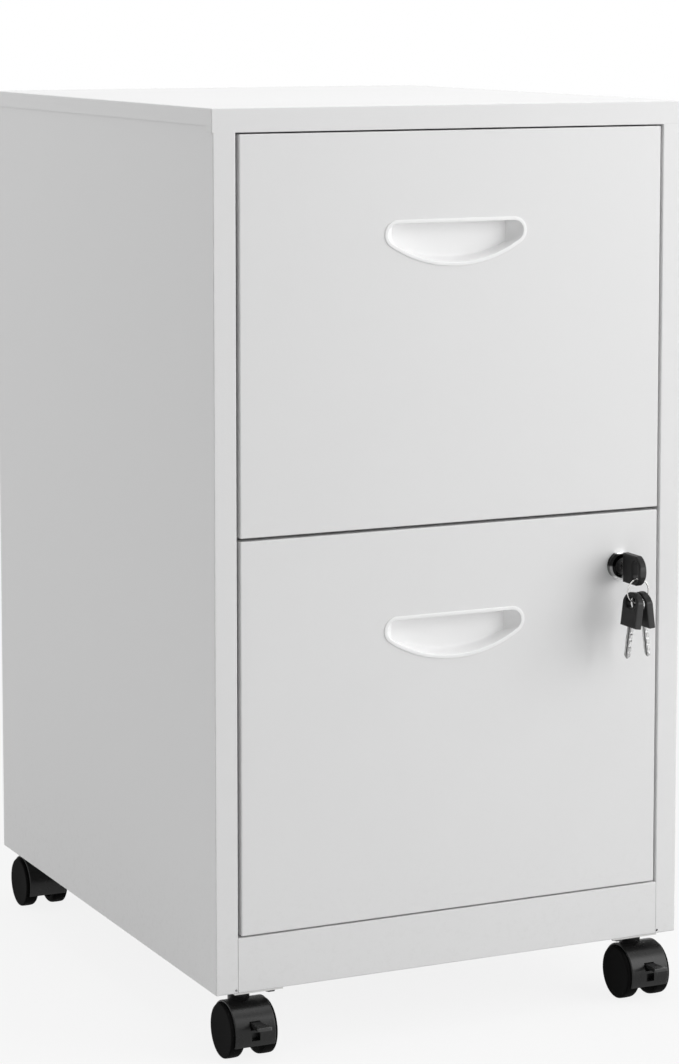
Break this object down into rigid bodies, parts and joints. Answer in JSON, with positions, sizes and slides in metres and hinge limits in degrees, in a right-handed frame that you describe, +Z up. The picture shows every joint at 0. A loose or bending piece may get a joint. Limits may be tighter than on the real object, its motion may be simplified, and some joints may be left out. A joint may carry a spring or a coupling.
{
  "type": "filing cabinet",
  "caption": "Steel mobile filing cabinet: stacked file drawers on telescopic slides with finger pulls, a cam lock with keys, and twin-wheel swivel casters.",
  "frame": {"origin": "on the floor, in the middle of the cabinet's box", "axes": "+Z up, the drawers open along -Y, +X to the right as seen from the front"},
  "size_m": [0.364, 0.4786, 0.6495],
  "materials": {
    "white_enamel": "fine powder coat",
    "pull_plastic": "satin",
    "caster_plastic": "satin",
    "wheel_plastic": "satin",
    "dark_steel": "blackened",
    "zinc_steel": "zinc plated",
    "lock_chrome": "dark polished",
    "lock_black": "black",
    "key_plastic": "satin",
    "key_steel": "nickel plated"
  },
  "bodies": {
    "case": {"left_side_panel": "white_enamel", "right_side_panel": "white_enamel", "back_panel": "white_enamel", "top_panel": "white_enamel", "base_panel": "white_enamel", "kick_plate": "white_enamel", "left_slide_uprights": "white_enamel", "right_slide_uprights": "white_enamel", "case_rivets": "white_enamel", "caster_stems": "dark_steel", "caster_plates": "zinc_steel", "caster_bolts": "dark_steel", "upper_left_slide_outer": "zinc_steel", "upper_right_slide_outer": "zinc_steel", "lower_left_slide_outer": "zinc_steel", "lower_right_slide_outer": "zinc_steel"},
    "upper_drawer": {"upper_drawer_front": "white_enamel", "upper_drawer_tray": "white_enamel", "upper_pull": "pull_plastic", "upper_left_slide_inner": "zinc_steel", "upper_right_slide_inner": "zinc_steel"},
    "upper_left_slide_middle": {"upper_left_slide_middle": "zinc_steel"},
    "upper_right_slide_middle": {"upper_right_slide_middle": "zinc_steel"},
    "lower_drawer": {"lower_drawer_front": "white_enamel", "lower_drawer_tray": "white_enamel", "lower_pull": "pull_plastic", "lower_left_slide_inner": "zinc_steel", "lower_right_slide_inner": "zinc_steel", "lock_housing": "lock_chrome", "lock_nut": "zinc_steel"},
    "lower_left_slide_middle": {"lower_left_slide_middle": "zinc_steel"},
    "lower_right_slide_middle": {"lower_right_slide_middle": "zinc_steel"},
    "lock": {"lock_plug": "lock_black", "lock_cam": "zinc_steel", "cam_screw": "zinc_steel", "lock_key_head": "key_plastic", "lock_key_blade": "key_steel"},
    "key_ring": {"key_ring": "key_steel"},
    "left_spare_key": {"left_spare_key_head": "key_plastic", "left_spare_key_blade": "key_steel"},
    "right_spare_key": {"right_spare_key_head": "key_plastic", "right_spare_key_blade": "key_steel"},
    "front_left_caster": {"front_left_caster_hood": "caster_plastic", "front_left_caster_axle": "dark_steel"},
    "front_left_caster_left_wheel": {"front_left_caster_left_wheel": "wheel_plastic"},
    "front_left_caster_right_wheel": {"front_left_caster_right_wheel": "wheel_plastic"},
    "front_left_brake_lever": {"front_left_brake_lever": "caster_plastic"},
    "front_right_caster": {"front_right_caster_hood": "caster_plastic", "front_right_caster_axle": "dark_steel"},
    "front_right_caster_left_wheel": {"front_right_caster_left_wheel": "wheel_plastic"},
    "front_right_caster_right_wheel": {"front_right_caster_right_wheel": "wheel_plastic"},
    "front_right_brake_lever": {"front_right_brake_lever": "caster_plastic"},
    "rear_left_caster": {"rear_left_caster_hood": "caster_plastic", "rear_left_caster_axle": "dark_steel"},
    "rear_left_caster_left_wheel": {"rear_left_caster_left_wheel": "wheel_plastic"},
    "rear_left_caster_right_wheel": {"rear_left_caster_right_wheel": "wheel_plastic"},
    "rear_right_caster": {"rear_right_caster_hood": "caster_plastic", "rear_right_caster_axle": "dark_steel"},
    "rear_right_caster_left_wheel": {"rear_right_caster_left_wheel": "wheel_plastic"},
    "rear_right_caster_right_wheel": {"rear_right_caster_right_wheel": "wheel_plastic"}
  },
  "joints": [
    {"name": "upper_drawer_slide", "type": "slide", "parent": "case", "child": "upper_drawer", "axis": [0, -1, 0], "range_m": [0, 0.38]},
    {"name": "upper_left_middle_slide", "type": "slide", "parent": "case", "child": "upper_left_slide_middle", "axis": [0, -1, 0], "range_m": [0, 0.19]},
    {"name": "upper_right_middle_slide", "type": "slide", "parent": "case", "child": "upper_right_slide_middle", "axis": [0, -1, 0], "range_m": [0, 0.19]},
    {"name": "lower_drawer_slide", "type": "slide", "parent": "case", "child": "lower_drawer", "axis": [0, -1, 0], "range_m": [0, 0.38]},
    {"name": "lower_left_middle_slide", "type": "slide", "parent": "case", "child": "lower_left_slide_middle", "axis": [0, -1, 0], "range_m": [0, 0.19]},
    {"name": "lower_right_middle_slide", "type": "slide", "parent": "case", "child": "lower_right_slide_middle", "axis": [0, -1, 0], "range_m": [0, 0.19]},
    {"name": "lock_turn", "type": "hinge", "parent": "lower_drawer", "child": "lock", "pos_m": [0.1315, -0.20253, 0.3206], "axis": [0, -1, 0], "range_deg": [0, 90]},
    {"name": "key_ring_swing", "type": "hinge", "parent": "lock", "child": "key_ring", "pos_m": [0.1315, -0.22878, 0.30885], "axis": [0, -1, 0], "range_deg": [-90, 0]},
    {"name": "left_spare_key_swing", "type": "hinge", "parent": "key_ring", "child": "left_spare_key", "pos_m": [0.128, -0.22878, 0.29964], "axis": [1, 0, 0], "range_deg": [-60, 20]},
    {"name": "right_spare_key_swing", "type": "hinge", "parent": "key_ring", "child": "right_spare_key", "pos_m": [0.135, -0.22878, 0.29964], "axis": [1, 0, 0], "range_deg": [-60, 20]},
    {"name": "front_left_caster_swivel", "type": "hinge", "parent": "case", "child": "front_left_caster", "pos_m": [-0.1555, -0.18102, 0.046], "axis": [0, 0, 1], "continuous": true},
    {"name": "front_left_caster_left_wheel_roll", "type": "hinge", "parent": "front_left_caster", "child": "front_left_caster_left_wheel", "pos_m": [-0.1555, -0.19052, 0.019], "axis": [1, 0, 0], "continuous": true},
    {"name": "front_left_caster_right_wheel_roll", "type": "hinge", "parent": "front_left_caster", "child": "front_left_caster_right_wheel", "pos_m": [-0.1555, -0.19052, 0.019], "axis": [1, 0, 0], "continuous": true},
    {"name": "front_left_brake_lever_press", "type": "hinge", "parent": "front_left_caster", "child": "front_left_brake_lever", "pos_m": [-0.1555, -0.20433, 0.027], "axis": [1, 0, 0], "range_deg": [0, 18]},
    {"name": "front_right_caster_swivel", "type": "hinge", "parent": "case", "child": "front_right_caster", "pos_m": [0.1555, -0.18102, 0.046], "axis": [0, 0, 1], "continuous": true},
    {"name": "front_right_caster_left_wheel_roll", "type": "hinge", "parent": "front_right_caster", "child": "front_right_caster_left_wheel", "pos_m": [0.1555, -0.19052, 0.019], "axis": [1, 0, 0], "continuous": true},
    {"name": "front_right_caster_right_wheel_roll", "type": "hinge", "parent": "front_right_caster", "child": "front_right_caster_right_wheel", "pos_m": [0.1555, -0.19052, 0.019], "axis": [1, 0, 0], "continuous": true},
    {"name": "front_right_brake_lever_press", "type": "hinge", "parent": "front_right_caster", "child": "front_right_brake_lever", "pos_m": [0.1555, -0.20433, 0.027], "axis": [1, 0, 0], "range_deg": [0, 18]},
    {"name": "rear_left_caster_swivel", "type": "hinge", "parent": "case", "child": "rear_left_caster", "pos_m": [-0.1555, 0.20897, 0.046], "axis": [0, 0, 1], "continuous": true},
    {"name": "rear_left_caster_left_wheel_roll", "type": "hinge", "parent": "rear_left_caster", "child": "rear_left_caster_left_wheel", "pos_m": [-0.1555, 0.21848, 0.019], "axis": [1, 0, 0], "continuous": true},
    {"name": "rear_left_caster_right_wheel_roll", "type": "hinge", "parent": "rear_left_caster", "child": "rear_left_caster_right_wheel", "pos_m": [-0.1555, 0.21848, 0.019], "axis": [1, 0, 0], "continuous": true},
    {"name": "rear_right_caster_swivel", "type": "hinge", "parent": "case", "child": "rear_right_caster", "pos_m": [0.1555, 0.20897, 0.046], "axis": [0, 0, 1], "continuous": true},
    {"name": "rear_right_caster_left_wheel_roll", "type": "hinge", "parent": "rear_right_caster", "child": "rear_right_caster_left_wheel", "pos_m": [0.1555, 0.21848, 0.019], "axis": [1, 0, 0], "continuous": true},
    {"name": "rear_right_caster_right_wheel_roll", "type": "hinge", "parent": "rear_right_caster", "child": "rear_right_caster_right_wheel", "pos_m": [0.1555, 0.21848, 0.019], "axis": [1, 0, 0], "continuous": true}
  ],
  "couplings": [
    {"joint": "upper_left_middle_slide", "follows": "upper_drawer_slide", "ratio": 0.5},
    {"joint": "upper_right_middle_slide", "follows": "upper_drawer_slide", "ratio": 0.5},
    {"joint": "lower_left_middle_slide", "follows": "lower_drawer_slide", "ratio": 0.5},
    {"joint": "lower_right_middle_slide", "follows": "lower_drawer_slide", "ratio": 0.5},
    {"joint": "key_ring_swing", "follows": "lock_turn", "ratio": -1}
  ]
}
